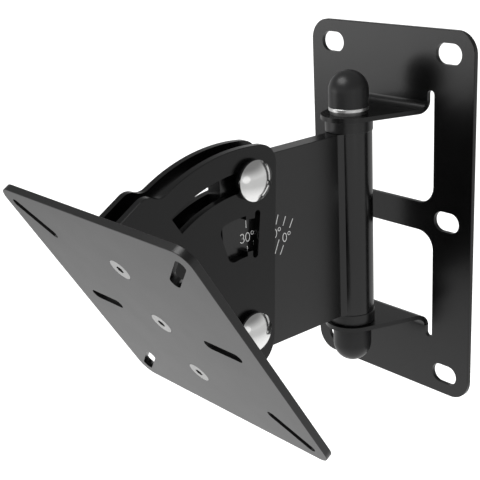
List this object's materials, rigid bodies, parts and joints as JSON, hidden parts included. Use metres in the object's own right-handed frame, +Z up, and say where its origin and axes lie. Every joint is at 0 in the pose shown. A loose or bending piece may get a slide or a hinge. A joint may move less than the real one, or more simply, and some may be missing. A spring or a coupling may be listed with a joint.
{
  "type": "speaker wall bracket",
  "caption": "Wall bracket for a loudspeaker: a wall plate, a swivelling post with an arm, and a tilting slotted plate clamped through an arc slot.",
  "frame": {"origin": "centre of the wall plate's back face, on the wall", "axes": "+Y points into the wall, +Z is up, +X is to the right seen from the room; the bracket reaches out along -Y"},
  "size_m": [0.18, 0.2472, 0.25],
  "materials": {
    "black_metal": "satin black powder coat",
    "chrome": "bright chrome plating",
    "zinc_steel": "bright zinc plating",
    "black_plastic": "smooth moulded plastic"
  },
  "bodies": {
    "wall": {"wall_plate": "black_metal", "swivel_bolt": "chrome", "top_washer": "chrome", "bottom_washer": "chrome", "swivel_nut": "chrome", "top_cap": "black_plastic", "bottom_cap": "black_plastic"},
    "swivel_arm": {"swivel_tube": "black_metal", "upper_bush": "black_plastic", "lower_bush": "black_plastic", "arm_plate": "black_metal", "clamp_bolt": "chrome", "clamp_head_washer": "black_plastic", "clamp_washer": "chrome", "clamp_nut": "chrome"},
    "tilt_head": {"tilt_bracket": "black_metal", "speaker_plate": "black_metal", "plate_screw_top": "zinc_steel", "plate_screw_middle": "zinc_steel", "plate_screw_bottom": "zinc_steel", "backing_bar": "zinc_steel", "pivot_bolt": "chrome", "pivot_head_washer": "black_plastic", "pivot_washer": "chrome", "pivot_nut": "chrome"}
  },
  "joints": [
    {"name": "swivel", "type": "hinge", "parent": "wall", "child": "swivel_arm", "pos_m": [0, -0.0407, 0], "axis": [0, 0, 1], "range_deg": [-65, 65]},
    {"name": "tilt", "type": "hinge", "parent": "swivel_arm", "child": "tilt_head", "pos_m": [0, -0.1408, -0.0435], "axis": [1, 0, 0], "range_deg": [-31.5, 0]}
  ]
}
